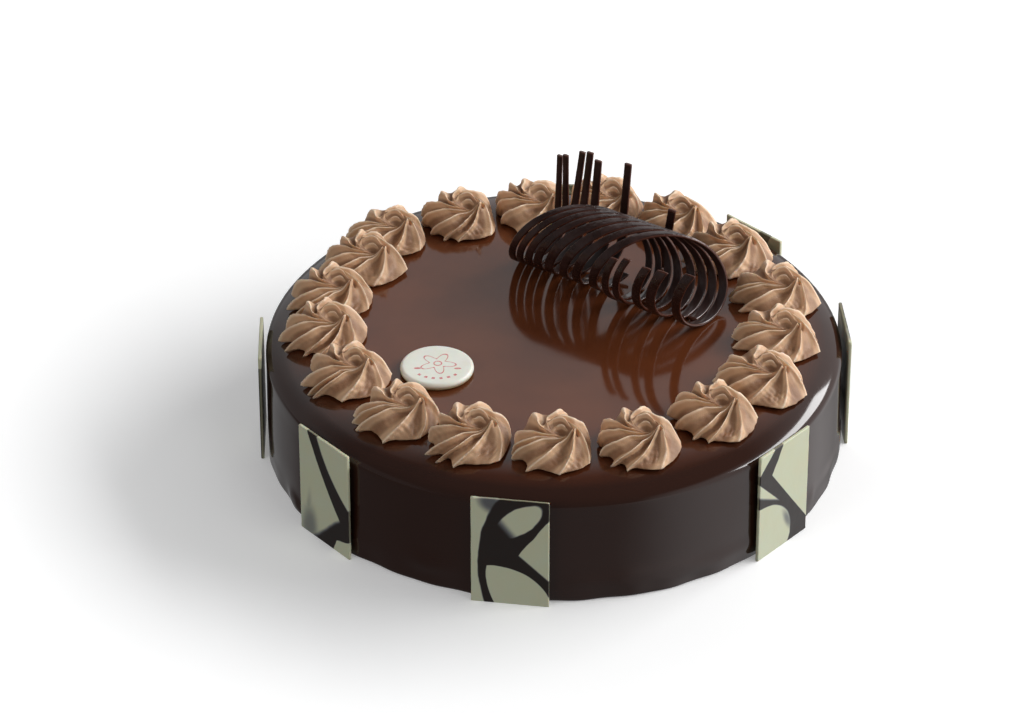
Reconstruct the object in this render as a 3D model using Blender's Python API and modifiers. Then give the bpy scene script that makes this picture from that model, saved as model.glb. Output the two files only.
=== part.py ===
"""A glazed chocolate torte: a round cake under dark mirror glaze, a ring of piped cream rosettes,
a curl of combed chocolate strips, a white chocolate medallion and marbled plaques round the side.

Metres, +Z up. The origin is the middle of the flat underside, and the viewer looks along +Y.
"""

import math
import random

import bmesh
import bpy
from mathutils import Matrix, Vector

MM = 0.001
TOUCH_GAP = 0.3 * MM

# The cake under its glaze
CAKE_RADIUS = 125.2 * MM
CAKE_HEIGHT = 55 * MM
FOOT_RADIUS = 126.0 * MM
SHOULDER_WIDTH = 27 * MM
SHOULDER_DROP = 8 * MM
SHOULDER_POINTS = 9
CAKE_STEPS = 72
TOP_OF_CAKE = CAKE_HEIGHT + TOUCH_GAP

# The rosettes, as places on the cake in mm, anticlockwise from the front
ROSETTE_PLACES = [
    (-0.4, -95.1), (35.1, -92.0), (67.3, -71.7), (88.4, -45.3), (96.4, -11.0), (97.0, 23.9),
    (77.4, 57.3), (53.8, 85.4), (22.9, 96.9), (-9.7, 93.8), (-42.3, 86.5), (-74.5, 72.4),
    (-84.0, 47.9), (-97.5, 21.3), (-99.1, -7.9), (-87.8, -42.2), (-64.6, -72.8), (-34.5, -89.4),
]
ROSETTE_RADIUS_X = 20.0 * MM
ROSETTE_RADIUS_Y = 17.4 * MM
ROSETTE_HEIGHT = 20.5 * MM
# How far the undersides follow the falling shoulder
SHOULDER_FOLLOWED = 0.6
ROSETTE_SEED = 11
RIDGES = 8
COLUMNS_PER_RIDGE = 3
GROOVE_DEPTH = 0.36
GROOVE_SHAPE = 0.85
TWIST = 2.2
DRIFT = 5.4 * MM
DRIFT_START = -4.6
DRIFT_TURN = 4.0
ROSETTE_LEVELS = [0.0, 0.10, 0.24, 0.42, 0.58, 0.74, 0.88, 1.0]
# Height up the nozzle's path, then the share of the full radius and of the full height there
ROSETTE_PROFILE = [
    (0.0, 0.74, 0.0), (0.10, 0.93, 0.07), (0.24, 1.0, 0.25), (0.45, 0.88, 0.57),
    (0.64, 0.66, 0.80), (0.80, 0.42, 0.93), (0.92, 0.20, 0.985), (1.0, 0.0, 1.0),
]
WALL_SOFTNESS = 4.5 * MM
WALL_CLEARANCE = 0.2 * MM

# The curl: flat strips side by side, wound one and a half times round a tube that grows
CURL_START = Vector((-12.5, 60.3, 0)) * MM
CURL_AXIS = Vector((0.848, -0.559, 0))
LOOP_SIDEWAYS = Vector((-13.2, -9.0, 0)) * MM
LOOP_UPWARD = Vector((-2.4, -0.9, 14.0)) * MM
LOOP_GROWTH_PER_TURN = 0.48
STICK_GROWTH = 0.30
STRIP_THICKNESS = 1.7 * MM
STRIP_POINTS_PER_TURN = 26
STRIP_FLOOR = TOP_OF_CAKE + STRIP_THICKNESS / 2
# Each strip: place on the first turn, place a turn later, width, how far it runs past the second
# bottom in radians, height of its standing end above the cake, and the lean of that end, in mm
STRIPS = [
    (0.0, 56.3, 3.5, 2.08, 45.5, (0.2, 0.3)),
    (3.9, 61.3, 3.5, 2.13, 47.5, (0.1, 0.3)),
    (8.3, 66.1, 3.9, 0.25, 50.0, (3.6, 0.5)),
    (12.8, 71.3, 4.3, 2.11, 51.5, (3.2, 0.0)),
    (18.5, 78.3, 4.7, 2.13, 49.5, (1.9, -0.5)),
    (26.3, 83.7, 4.5, 0.32, None, None),
    (33.5, 88.5, 4.5, 0.20, 52.0, (2.2, 1.0)),
    (43.0, 93.3, 4.4, 2.26, None, None),
]
BROKEN_START = {6: -1.15, 8: -0.55}
SHARD_FOOT = (47.8, 51.0)
SHARD_TIP = (51.5, 45.8, 33.0)
SHARD_WIDTH = 4.0 * MM

# The medallion and the plaques
MEDALLION_PLACE = (-49.9 * MM, -33.7 * MM)
MEDALLION_RADIUS = 15.8 * MM
MEDALLION_THICKNESS = 3.4 * MM
MEDALLION_STEPS = 40
PLAQUE_WIDTH = 33 * MM
PLAQUE_HEIGHT = 52.5 * MM
PLAQUE_THICKNESS = 2.2 * MM
PLAQUE_BEVEL = 0.35 * MM
# Degrees round from the front towards +X, then how far each leans off the side, in mm
PLAQUES = [(-49.3, 0), (-8.0, 0), (49.7, 0), (95.0, 0.4), (135.0, 0), (178.0, 0), (-88.5, 0.2)]


def clear_scene():
    """Empties the scene and makes the collection that holds every piece."""
    for thing in list(bpy.data.objects):
        bpy.data.objects.remove(thing, do_unlink=True)
    collection = bpy.data.collections.new("chocolate_torte")
    bpy.context.scene.collection.children.link(collection)
    return collection


def finish_material(name, colour, roughness, metallic=0.0):
    """A plain finish of one colour."""
    material = bpy.data.materials.new(name)
    material.use_nodes = True
    shader = material.node_tree.nodes["Principled BSDF"]
    shader.inputs["Base Color"].default_value = (*colour, 1.0)
    shader.inputs["Roughness"].default_value = roughness
    shader.inputs["Metallic"].default_value = metallic
    return material


def add_piece(collection, name, mesh, material):
    """Puts a mesh in the collection as a named object."""
    piece = bpy.data.objects.new(name, mesh)
    mesh.materials.append(material)
    collection.objects.link(piece)
    return piece


def turned_piece(collection, name, profile, steps, material):
    """Turns a profile of (radius, height) points, listed from top to bottom, about the Z axis."""
    mesh = bpy.data.meshes.new(name)
    edges = [(i, i + 1) for i in range(len(profile) - 1)]
    mesh.from_pydata([(radius, 0, height) for radius, height in profile], edges, [])
    piece = add_piece(collection, name, mesh, material)
    screw = piece.modifiers.new("turn", "SCREW")
    screw.steps = steps
    screw.render_steps = steps
    screw.use_merge_vertices = True
    screw.merge_threshold = 0.00001
    screw.use_smooth_shade = True
    return piece


def rounded_corner(radius, height, rounding, points):
    """Points of a quarter arc that rounds the upper outer edge at (radius, height)."""
    arc = []
    for i in range(points):
        angle = math.pi / 2 * i / (points - 1)
        across = radius - rounding + rounding * math.sin(angle)
        up = height - rounding + rounding * math.cos(angle)
        arc.append((across, up))
    return arc


def shoulder_sag(distance):
    """How far the glaze has fallen below the flat top at a distance from the middle."""
    share = (distance - (CAKE_RADIUS - SHOULDER_WIDTH)) / SHOULDER_WIDTH
    share = min(max(share, 0), 1)
    return SHOULDER_DROP * (1 - math.sqrt(1 - share * share))


def make_cake(collection):
    """The cake with its glaze: flat on top, with a broad soft shoulder and a nearly upright side."""
    glaze = finish_material("dark_glaze", (0.045, 0.018, 0.012), 0.12)
    profile = [(0, CAKE_HEIGHT)]
    for i in range(SHOULDER_POINTS):
        share = math.sin(math.pi / 2 * i / (SHOULDER_POINTS - 1))
        distance = CAKE_RADIUS - SHOULDER_WIDTH * (1 - share)
        profile.append((distance, CAKE_HEIGHT - shoulder_sag(distance)))
    profile += [(CAKE_RADIUS + 0.3 * MM, 0.5 * CAKE_HEIGHT), (FOOT_RADIUS, 0), (0, 0)]
    return turned_piece(collection, "cake", profile, CAKE_STEPS, glaze)


def between(table, value, column):
    """Reads a column of a table by straight lines between its rows."""
    for low, high in zip(table, table[1:]):
        if value <= high[0]:
            share = (value - low[0]) / (high[0] - low[0])
            return low[column] + share * (high[column] - low[column])
    return table[-1][column]


def rosette_variations():
    """Small differences from rosette to rosette, the same on each run."""
    draw = random.Random(ROSETTE_SEED)
    rosettes = []
    for x, y in ROSETTE_PLACES:
        rosettes.append({
            "centre": Vector((x, y, 0)) * MM,
            "size": draw.uniform(0.96, 1.03),
            "height": draw.uniform(0.93, 1.06),
            "spin": draw.uniform(-0.3, 0.3),
            "twist": TWIST * draw.uniform(0.86, 1.14),
            "drift": DRIFT * draw.uniform(0.8, 1.2),
            "turn": DRIFT_TURN + draw.uniform(-0.35, 0.35),
            "groove": GROOVE_DEPTH * draw.uniform(0.92, 1.06),
        })
    return rosettes


def rosette_offset(rosette, around, level):
    """A point of one rosette from its centre: a ridged section that turns, shrinks and drifts."""
    radius = between(ROSETTE_PROFILE, level, 1) * rosette["size"]
    groove = rosette["groove"] * abs(math.sin(RIDGES * around / 2)) ** GROOVE_SHAPE
    angle = around + rosette["spin"] + rosette["twist"] * level ** 1.2
    drift = rosette["drift"] * math.sin(min(1, 1.05 * level) * math.pi / 2)
    drift_angle = DRIFT_START + rosette["turn"] * level
    reach = radius * (1 - groove)
    x = drift * math.cos(drift_angle) + ROSETTE_RADIUS_X * reach * math.cos(angle)
    y = 0.85 * drift * math.sin(drift_angle) + ROSETTE_RADIUS_Y * reach * math.sin(angle)
    z = ROSETTE_HEIGHT * rosette["height"] * between(ROSETTE_PROFILE, level, 2)
    return Vector((x, y, z))


def press_against(offset, centre, neighbours):
    """Presses a point softly against the upright planes half-way to the neighbours."""
    for other in neighbours:
        towards = other - centre
        wall = towards.length / 2 - WALL_CLEARANCE
        towards.normalize()
        reach = offset.dot(towards)
        start = wall - WALL_SOFTNESS
        if reach > start:
            pressed = wall - WALL_SOFTNESS * math.exp(-(reach - start) / WALL_SOFTNESS)
            offset = offset + towards * (pressed - reach)
    return offset


def on_shoulder(point):
    """Lifts a point onto the cake, lower where the glaze below it falls away."""
    fall = SHOULDER_FOLLOWED * shoulder_sag(math.hypot(point.x, point.y))
    return point + Vector((0, 0, TOP_OF_CAKE - fall))


def rosette_mesh(name, rosette, neighbours):
    """Stacks the ridged sections of one rosette into a closed mesh with a single tip."""
    columns = RIDGES * COLUMNS_PER_RIDGE
    shape = bmesh.new()
    rings = []
    for level in ROSETTE_LEVELS[:-1]:
        ring = []
        for i in range(columns):
            point = rosette_offset(rosette, 2 * math.pi * i / columns, level)
            point = press_against(point, rosette["centre"], neighbours)
            ring.append(shape.verts.new(on_shoulder(rosette["centre"] + point)))
        rings.append(ring)
    tip_point = press_against(rosette_offset(rosette, 0, 1.0), rosette["centre"], neighbours)
    tip = shape.verts.new(on_shoulder(rosette["centre"] + tip_point))
    underside = shape.verts.new(on_shoulder(rosette["centre"]))
    for lower, upper in zip(rings, rings[1:]):
        for i in range(columns):
            j = (i + 1) % columns
            shape.faces.new((lower[i], lower[j], upper[j], upper[i]))
    for i in range(columns):
        shape.faces.new((rings[-1][i], rings[-1][(i + 1) % columns], tip))
        shape.faces.new((rings[0][(i + 1) % columns], rings[0][i], underside))
    mesh = bpy.data.meshes.new(name)
    shape.to_mesh(mesh)
    shape.free()
    return mesh


def make_rosettes(collection):
    """The ring of piped rosettes, each pressed a little against the two beside it."""
    cream = finish_material("chocolate_cream", (0.42, 0.25, 0.15), 0.6)
    rosettes = rosette_variations()
    for i, rosette in enumerate(rosettes):
        before = rosettes[i - 1]["centre"]
        after = rosettes[(i + 1) % len(rosettes)]["centre"]
        name = f"rosette_{i + 1:02d}"
        add_piece(collection, name, rosette_mesh(name, rosette, [before, after]), cream)


def loop_point(first, second, angle):
    """A strip's centre line at an angle past its first bottom, rising on the viewer's left."""
    turn = angle / (2 * math.pi)
    growth = 1 + LOOP_GROWTH_PER_TURN * turn
    along = first + (second - first) * turn
    if angle < 0:
        growth = 1 + STICK_GROWTH * (-4 * turn)
        along = first
    point = CURL_START + CURL_AXIS * along * MM
    point = point + growth * (LOOP_SIDEWAYS * math.sin(angle) + LOOP_UPWARD * (1 - math.cos(angle)))
    return point + Vector((0, 0, STRIP_FLOOR))


def strip_path(number, first, second, past_bottom, stick_height, lean):
    """Points of one strip, from its standing or broken end round to its last end."""
    start = BROKEN_START.get(number, -math.pi / 2)
    end = 2 * math.pi + past_bottom
    steps = round(STRIP_POINTS_PER_TURN * (end - start) / (2 * math.pi))
    path = [loop_point(first, second, start + (end - start) * i / steps) for i in range(steps + 1)]
    if stick_height is not None:
        top = path[0] + Vector((lean[0], lean[1], 0)) * MM
        top.z = TOP_OF_CAKE + stick_height * MM
        path = [top, path[0].lerp(top, 0.5)] + path
    return path


def ribbon_piece(collection, name, path, width, material):
    """A flat strip along a path, its width along the curl's axis and its thickness from Solidify."""
    mesh = bpy.data.meshes.new(name)
    half = CURL_AXIS.normalized() * width / 2
    points = []
    for point in path:
        points += [point - half, point + half]
    faces = [(2 * i, 2 * i + 1, 2 * i + 3, 2 * i + 2) for i in range(len(path) - 1)]
    mesh.from_pydata(points, [], faces)
    piece = add_piece(collection, name, mesh, material)
    solidify = piece.modifiers.new("thickness", "SOLIDIFY")
    solidify.thickness = STRIP_THICKNESS
    solidify.offset = 0
    solidify.use_even_offset = True
    return piece


def make_curl(collection):
    """Eight combed strips wound side by side, and a broken shard that leans behind them."""
    chocolate = finish_material("dark_chocolate", (0.022, 0.012, 0.010), 0.3)
    for number, (first, second, width, past, height, lean) in enumerate(STRIPS, 1):
        path = strip_path(number, first, second, past, height, lean)
        ribbon_piece(collection, f"curl_strip_{number}", path, width * MM, chocolate)
    foot = Vector((SHARD_FOOT[0] * MM, SHARD_FOOT[1] * MM, TOP_OF_CAKE + TOUCH_GAP))
    tip = Vector((SHARD_TIP[0] * MM, SHARD_TIP[1] * MM, TOP_OF_CAKE + SHARD_TIP[2] * MM))
    ribbon_piece(collection, "curl_shard", [foot, foot.lerp(tip, 0.5), tip], SHARD_WIDTH, chocolate)


def make_medallion(collection):
    """The white chocolate disc, soft at its upper edge, lying on the glaze."""
    white = finish_material("white_chocolate", (0.74, 0.73, 0.64), 0.35)
    thickness = MEDALLION_THICKNESS
    profile = [(0, thickness)]
    profile += rounded_corner(MEDALLION_RADIUS, thickness, 1.5 * MM, 4)
    profile += [(MEDALLION_RADIUS - 0.5 * MM, 0), (0, 0)]
    piece = turned_piece(collection, "medallion", profile, MEDALLION_STEPS, white)
    piece.location = (*MEDALLION_PLACE, TOP_OF_CAKE)


def make_plaques(collection):
    """The thin plaques that stand round the side, on the same level as the cake's foot."""
    marbled = finish_material("marbled_chocolate", (0.48, 0.50, 0.36), 0.35)
    for number, (degrees, off_side) in enumerate(PLAQUES, 1):
        name = f"plaque_{number}"
        bpy.ops.mesh.primitive_cube_add(size=1)
        piece = bpy.context.object
        piece.name = name
        piece.data.name = name
        size = Matrix.Diagonal((PLAQUE_WIDTH, PLAQUE_THICKNESS, PLAQUE_HEIGHT, 1))
        piece.data.transform(size)
        angle = math.radians(degrees)
        distance = FOOT_RADIUS + TOUCH_GAP + off_side * MM + PLAQUE_THICKNESS / 2
        piece.location = (distance * math.sin(angle), -distance * math.cos(angle), PLAQUE_HEIGHT / 2)
        piece.rotation_euler = (0, 0, angle)
        piece.data.materials.append(marbled)
        bevel = piece.modifiers.new("soft_edges", "BEVEL")
        bevel.width = PLAQUE_BEVEL
        bevel.segments = 1
        for holder in list(piece.users_collection):
            holder.objects.unlink(piece)
        collection.objects.link(piece)


def main():
    collection = clear_scene()
    make_cake(collection)
    make_rosettes(collection)
    make_curl(collection)
    make_medallion(collection)
    make_plaques(collection)


main()
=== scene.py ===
# %% [markdown]
# # A glazed chocolate torte
# The torte is a round sponge cake under a dark mirror glaze. Round its top stands a ring of piped
# chocolate cream rosettes. A curl of combed dark chocolate and a white chocolate medallion lie
# inside the ring, and marbled plaques stand round the side. The solids come packed as a fixed
# frame. This lesson dresses each of them in a finer mesh and gives it its finish.

import math
import random

import bpy
import numpy as np
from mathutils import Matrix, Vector


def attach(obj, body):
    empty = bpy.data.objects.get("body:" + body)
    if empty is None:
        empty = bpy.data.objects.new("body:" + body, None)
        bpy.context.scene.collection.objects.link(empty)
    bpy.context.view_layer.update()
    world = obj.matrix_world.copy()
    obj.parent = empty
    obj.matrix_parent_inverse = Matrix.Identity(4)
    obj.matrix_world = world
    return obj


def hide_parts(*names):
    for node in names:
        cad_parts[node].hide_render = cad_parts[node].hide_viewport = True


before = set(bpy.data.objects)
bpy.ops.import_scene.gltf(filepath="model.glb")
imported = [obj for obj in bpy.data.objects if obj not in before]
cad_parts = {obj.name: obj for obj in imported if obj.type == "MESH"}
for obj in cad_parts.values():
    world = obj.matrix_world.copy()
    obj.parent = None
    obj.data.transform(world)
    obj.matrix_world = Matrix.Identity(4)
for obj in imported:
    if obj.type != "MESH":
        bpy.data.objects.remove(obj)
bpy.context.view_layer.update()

# %% [markdown]
# ## Light, floor and camera
# The torte was lit like most food: one broad soft light from the right, a bright wall behind, and
# hardly any light from the front. A mirror glaze shows its surroundings, so the wall behind gives
# the top its soft sheen, and the dark front keeps the side nearly black. The surroundings are
# therefore painted in the world by direction, which is simpler than a set of panels. Two weak
# fills lift the cream and the plaques. The glaze doesn't mirror them, so it stays dark.

# %% Shader maths as plain expressions
class Link:
    """The output of a shader node, which can stand in a sum like a number."""

    def __init__(self, paint, socket):
        self.paint = paint
        self.socket = socket

    def maths(self, operation, *values):
        return self.paint.node("ShaderNodeMath", {"operation": operation}, dict(enumerate(values)))

    def __add__(self, other):
        return self.maths("ADD", self, other)

    def __sub__(self, other):
        return self.maths("SUBTRACT", self, other)

    def __rsub__(self, other):
        return self.maths("SUBTRACT", other, self)

    def __mul__(self, other):
        return self.maths("MULTIPLY", self, other)

    def __truediv__(self, other):
        return self.maths("DIVIDE", self, other)

    def __pow__(self, other):
        return self.maths("POWER", self, other)

    def __abs__(self):
        return self.maths("ABSOLUTE", self)

    __radd__ = __add__
    __rmul__ = __mul__

    def larger(self, other):
        return self.maths("MAXIMUM", self, other)

    def smaller(self, other):
        return self.maths("MINIMUM", self, other)


# %% A painter that adds nodes
class Paint:
    """Adds nodes to the tree of a material or of the world."""

    def __init__(self, tree):
        self.tree = tree

    def feed(self, socket, value):
        if isinstance(value, Link):
            self.tree.links.new(value.socket, socket)
        else:
            socket.default_value = value

    def node(self, kind, settings=None, inputs=None, output=0):
        """Adds a node: its settings are set first, then its sockets get values or links."""
        made = self.tree.nodes.new(kind)
        for name, value in (settings or {}).items():
            setattr(made, name, value)
        for name, value in (inputs or {}).items():
            self.feed(made.inputs[name], value)
        return Link(self, made.outputs[output])

    def split(self, vector):
        """The three parts of a vector as three links."""
        x = self.node("ShaderNodeSeparateXYZ", None, {0: vector})
        outputs = x.socket.node.outputs
        return x, Link(self, outputs[1]), Link(self, outputs[2])

    def rise(self, value, low, high):
        """0 below low, 1 above high and a smooth step between, also with low above high."""
        inputs = {0: value, 1: low, 2: high, 3: 0.0, 4: 1.0}
        return self.node("ShaderNodeMapRange", {"interpolation_type": "SMOOTHSTEP"}, inputs)

    def blend(self, first, second, share):
        """A colour between two colours."""
        inputs = {0: share, 6: first, 7: second}
        return self.node("ShaderNodeMix", {"data_type": "RGBA"}, inputs, output=2)

    def noise(self, place, size_mm, detail=2.0, roughness=0.5):
        """Soft noise from 0 to 1 with patches about size_mm across."""
        inputs = {"Vector": place, "Scale": 1000 / size_mm, "Detail": detail, "Roughness": roughness}
        return self.node("ShaderNodeTexNoise", None, inputs)


def colour(red, green, blue):
    return (red, green, blue, 1.0)


print("a colour has", len(colour(1, 1, 1)), "parts, the last one is how solid it is")

# %% Surroundings
BACK_WALL = 0.74
BACK_WALL_DIMMING = 0.5
LEFT_SIDE = 0.22
RIGHT_SIDE = 0.86
FRONT_ABOVE = 0.13
OVERHEAD = 0.12
BELOW_LEFT = 0.12
BELOW_FRONT = 0.27
BELOW_RIGHT = 0.95
BELOW_BEHIND = 1.25
BELOW_LEFT_SHARE = 0.22
BACKDROP_SEEN = 1.0

world = bpy.data.worlds.new("soft_studio")
bpy.context.scene.world = world
world.use_nodes = True
sky = Paint(world.node_tree)
direction = sky.node("ShaderNodeTexCoord")
east, north, up = sky.split(direction)
# Each of these goes from 0 to 1 with the direction, and the wall behind dims towards the left
behind = sky.rise(north, -0.15, 0.45)
right = sky.rise(east, 0.35, 0.85)
left = sky.rise(east, -0.35, -0.85)
band = sky.rise(up, 0.88, 0.60)
wall = behind * BACK_WALL * (1 - sky.rise(east, -0.2, -0.6) * BACK_WALL_DIMMING)
level = wall.larger(right * RIGHT_SIDE).larger(left * LEFT_SIDE)
above = (level * band).larger(band * (FRONT_ABOVE - OVERHEAD) + OVERHEAD)
below = sky.rise(east, -0.75, 0.25) * (BELOW_FRONT - BELOW_LEFT) + BELOW_LEFT
below = below + sky.rise(east, 0.3, 0.8) * (BELOW_RIGHT - BELOW_FRONT)
share_behind = BELOW_LEFT_SHARE + right * (1 - BELOW_LEFT_SHARE)
below = below.larger(sky.rise(north, 0.1, 0.6) * BELOW_BEHIND * share_behind)
horizon = sky.rise(up, -0.04, 0.02)
strength = above * horizon + below * (1 - horizon)
seen_directly = sky.node("ShaderNodeLightPath")
strength = strength * (1 - seen_directly) + seen_directly * BACKDROP_SEEN
background = world.node_tree.nodes["Background"]
background.inputs["Color"].default_value = colour(0.985, 0.99, 1.0)
sky.feed(background.inputs["Strength"], strength)
bpy.context.scene.view_settings.view_transform = "Standard"
print("world nodes", len(world.node_tree.nodes))

# %% Soft light from the right
KEY_DIRECTION = Vector((0.80, 0.24, 0.53))
KEY_DISTANCE = 2.2
KEY_SIZE = (2.1, 0.60)
KEY_RADIANCE = 11.6


def soft_light(name, direction, distance, size, radiance, mirrored=True):
    """A soft box that points at the torte and gives the same radiance whatever its size."""
    lamp = bpy.data.lights.new(name, "AREA")
    lamp.shape = "RECTANGLE"
    lamp.size, lamp.size_y = size
    lamp.energy = radiance * math.pi * size[0] * size[1]
    holder = bpy.data.objects.new(name, lamp)
    bpy.context.scene.collection.objects.link(holder)
    holder.location = direction.normalized() * distance
    holder.rotation_euler = (-direction).to_track_quat("-Z", "Y").to_euler()
    holder.visible_camera = False
    holder.visible_glossy = mirrored
    return holder


key = soft_light("right_softbox", KEY_DIRECTION, KEY_DISTANCE, KEY_SIZE, KEY_RADIANCE)
print("key light", [round(v, 2) for v in key.location], "watts", round(key.data.energy, 1))

# %% Fills that the glaze doesn't mirror
FRONT_FILL = Vector((0.42, -0.42, 0.80))
FRONT_FILL_SIZE = (0.9, 0.9)
FRONT_FILL_RADIANCE = 1.7
LEFT_FILL = Vector((-0.75, -0.60, 0.42))
LEFT_FILL_SIZE = (1.3, 1.3)
LEFT_FILL_RADIANCE = 2.0

for name, towards, size, radiance in (
    ("front_fill", FRONT_FILL, FRONT_FILL_SIZE, FRONT_FILL_RADIANCE),
    ("left_fill", LEFT_FILL, LEFT_FILL_SIZE, LEFT_FILL_RADIANCE),
):
    fill = soft_light(name, towards, KEY_DISTANCE, size, radiance, mirrored=False)
    print(name, "at", [round(v, 2) for v in fill.location], "watts", round(fill.data.energy, 1))

# %% Floor
FLOOR_HALF = 9.0
FLOOR_GLOW = 0.23
FLOOR_GLOW_FAR = 0.30
GLOW_FROM_TO = (0.17, 0.36)

floor_paint = bpy.data.materials.new("pale_floor")
floor_paint.use_nodes = True
paper = Paint(floor_paint.node_tree)
grain = paper.noise(paper.node("ShaderNodeNewGeometry"), 6.0)
paper_colour = paper.blend(colour(0.90, 0.90, 0.90), colour(0.92, 0.92, 0.92), grain)
paper_shader = floor_paint.node_tree.nodes["Principled BSDF"]
paper.feed(paper_shader.inputs["Base Color"], paper_colour)
paper_shader.inputs["Roughness"].default_value = 0.9
paper_shader.inputs["Specular IOR Level"].default_value = 0.1
spot_x, spot_y, _ = paper.split(paper.node("ShaderNodeNewGeometry"))
# A faint glow that grows away from the cake keeps the far floor white, as in a bright studio
far = paper.rise((spot_x * spot_x + spot_y * spot_y) ** 0.5, *GLOW_FROM_TO)
near_glow, far_glow = [colour(v, v, v) for v in (FLOOR_GLOW, FLOOR_GLOW + FLOOR_GLOW_FAR)]
paper.feed(paper_shader.inputs["Emission Color"], paper.blend(near_glow, far_glow, far))
paper_shader.inputs["Emission Strength"].default_value = 1.0

floor_mesh = bpy.data.meshes.new("floor")
corners = [(x * FLOOR_HALF, y * FLOOR_HALF, 0) for x, y in ((-1, -1), (1, -1), (1, 1), (-1, 1))]
floor_mesh.from_pydata(corners, [], [(0, 1, 2, 3)])
floor_mesh.materials.append(floor_paint)
floor = bpy.data.objects.new("floor", floor_mesh)
bpy.context.scene.collection.objects.link(floor)
floor.visible_diffuse = False
floor.visible_glossy = False
print("floor", 2 * FLOOR_HALF, "m wide")

# %% Camera
CAMERA_ELEVATION = math.radians(33.26)
CAMERA_DISTANCE = 2.08
CAMERA_LENS = 167.5
CAKE_MIDDLE = Vector((0, 0, 0.0311))
AIM_LEFT = 0.01823
AIM_UP = 0.00841

towards_camera = Vector((0, -math.cos(CAMERA_ELEVATION), math.sin(CAMERA_ELEVATION)))
picture_up = Vector((0, math.sin(CAMERA_ELEVATION), math.cos(CAMERA_ELEVATION)))
eye = bpy.data.cameras.new("camera")
eye.lens = CAMERA_LENS
eye.sensor_width = 36.0
camera = bpy.data.objects.new("camera", eye)
bpy.context.scene.collection.objects.link(camera)
camera.location = CAKE_MIDDLE + towards_camera * CAMERA_DISTANCE
aim = CAKE_MIDDLE - Vector((AIM_LEFT, 0, 0)) + picture_up * AIM_UP
camera.rotation_euler = (aim - camera.location).to_track_quat("-Z", "Y").to_euler()
bpy.context.scene.camera = camera
print("camera at", [round(v, 3) for v in camera.location])

# %% [markdown]
# ## Helpers for meshes
# Almost every piece here is a sleeve: a stack of closed rings, such as the turned cake, a rosette
# or a strip of chocolate. One helper joins the rings with quads and closes the ends, so each piece
# only has to say where its points lie.

# %% Sleeves of rings
MM = 0.001


def sleeve_faces(rings, around, start_point, end_point):
    """Quads between rings of points, with both ends closed by a point or by one flat face."""
    i, j = np.meshgrid(np.arange(rings - 1), np.arange(around), indexing="ij")
    k = (j + 1) % around
    quads = np.stack([i * around + j, i * around + k, (i + 1) * around + k, (i + 1) * around + j])
    faces = quads.reshape(4, -1).T.tolist()
    last = (rings - 1) * around
    if start_point is None:
        faces.append(list(range(around))[::-1])
    else:
        faces += [[(j + 1) % around, j, start_point] for j in range(around)]
    if end_point is None:
        faces.append(list(range(last, last + around)))
    else:
        faces += [[last + j, last + (j + 1) % around, end_point] for j in range(around)]
    return faces


print("a sleeve of 3 rings with 8 points has", len(sleeve_faces(3, 8, None, None)), "faces")

# %% Pieces that ride on the torte
def add_piece(name, points, faces, material, stands_for,
              marks=None, place=(0, 0, 0), turned=0.0):
    """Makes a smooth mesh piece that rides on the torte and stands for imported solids."""
    mesh = bpy.data.meshes.new(name)
    mesh.from_pydata(np.asarray(points, float).tolist(), [], faces)
    mesh.shade_smooth()
    mesh.materials.append(material)
    for mark, values in (marks or {}).items():
        mesh.attributes.new(mark, "FLOAT", "POINT").data.foreach_set("value", values)
    piece = bpy.data.objects.new(name, mesh)
    bpy.context.scene.collection.objects.link(piece)
    piece.location = place
    piece.rotation_euler = (0, 0, turned)
    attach(piece, "root")
    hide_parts(*stands_for)
    return piece


def ripple(seed, lengths):
    """A smooth random function of two coordinates, made of one slanted wave for each length."""
    draw = random.Random(seed)
    waves = []
    for length in lengths:
        turn = draw.uniform(0, 2 * math.pi)
        waves.append((math.cos(turn) / length, math.sin(turn) / length, draw.uniform(0, 2 * math.pi)))

    def height(x, y):
        total = sum(np.sin(2 * math.pi * (x * a + y * b) + phase) for a, b, phase in waves)
        return total / len(waves)

    return height


def new_finish(name, roughness, ior=1.5):
    """A material with its Principled shader and the paint that adds nodes to it."""
    material = bpy.data.materials.new(name)
    material.use_nodes = True
    shader = material.node_tree.nodes["Principled BSDF"]
    shader.inputs["Roughness"].default_value = roughness
    shader.inputs["IOR"].default_value = ior
    return material, shader, Paint(material.node_tree)


def bump(paint, shader, height, distance_mm, strength=1.0):
    """Feeds a height map to the shader's normal."""
    inputs = {"Height": height, "Distance": distance_mm * MM, "Strength": strength}
    paint.feed(shader.inputs["Normal"], paint.node("ShaderNodeBump", None, inputs))


print("a ripple at its start", round(float(ripple(1, (0.02, 0.01))(0.0, 0.0)), 3))

# %% [markdown]
# ## The cake and its mirror glaze
# The glaze was poured over the cake, so the top is level, the rim is round and the side runs down
# in soft waves that gather into thick folds at the foot. Its profile is turned round the middle,
# and small waves are then added by height and angle. A plain turned body would reflect like
# a machined part, and the waves are what makes it read as poured.

# %% Profile of the cake
CAKE_RADIUS = 125.2 * MM
CAKE_HEIGHT = 55 * MM
FOOT_RADIUS = 126 * MM
SHOULDER_WIDTH = 27 * MM
SHOULDER_DROP = 8 * MM
FOOT_ROUNDING = 1.6 * MM


def shoulder_sag(distance):
    """How far the glaze has fallen below the flat top at a distance from the middle."""
    share = np.clip((distance - CAKE_RADIUS + SHOULDER_WIDTH) / SHOULDER_WIDTH, 0, 1)
    return SHOULDER_DROP * (1 - np.sqrt(1 - share * share))


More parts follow.
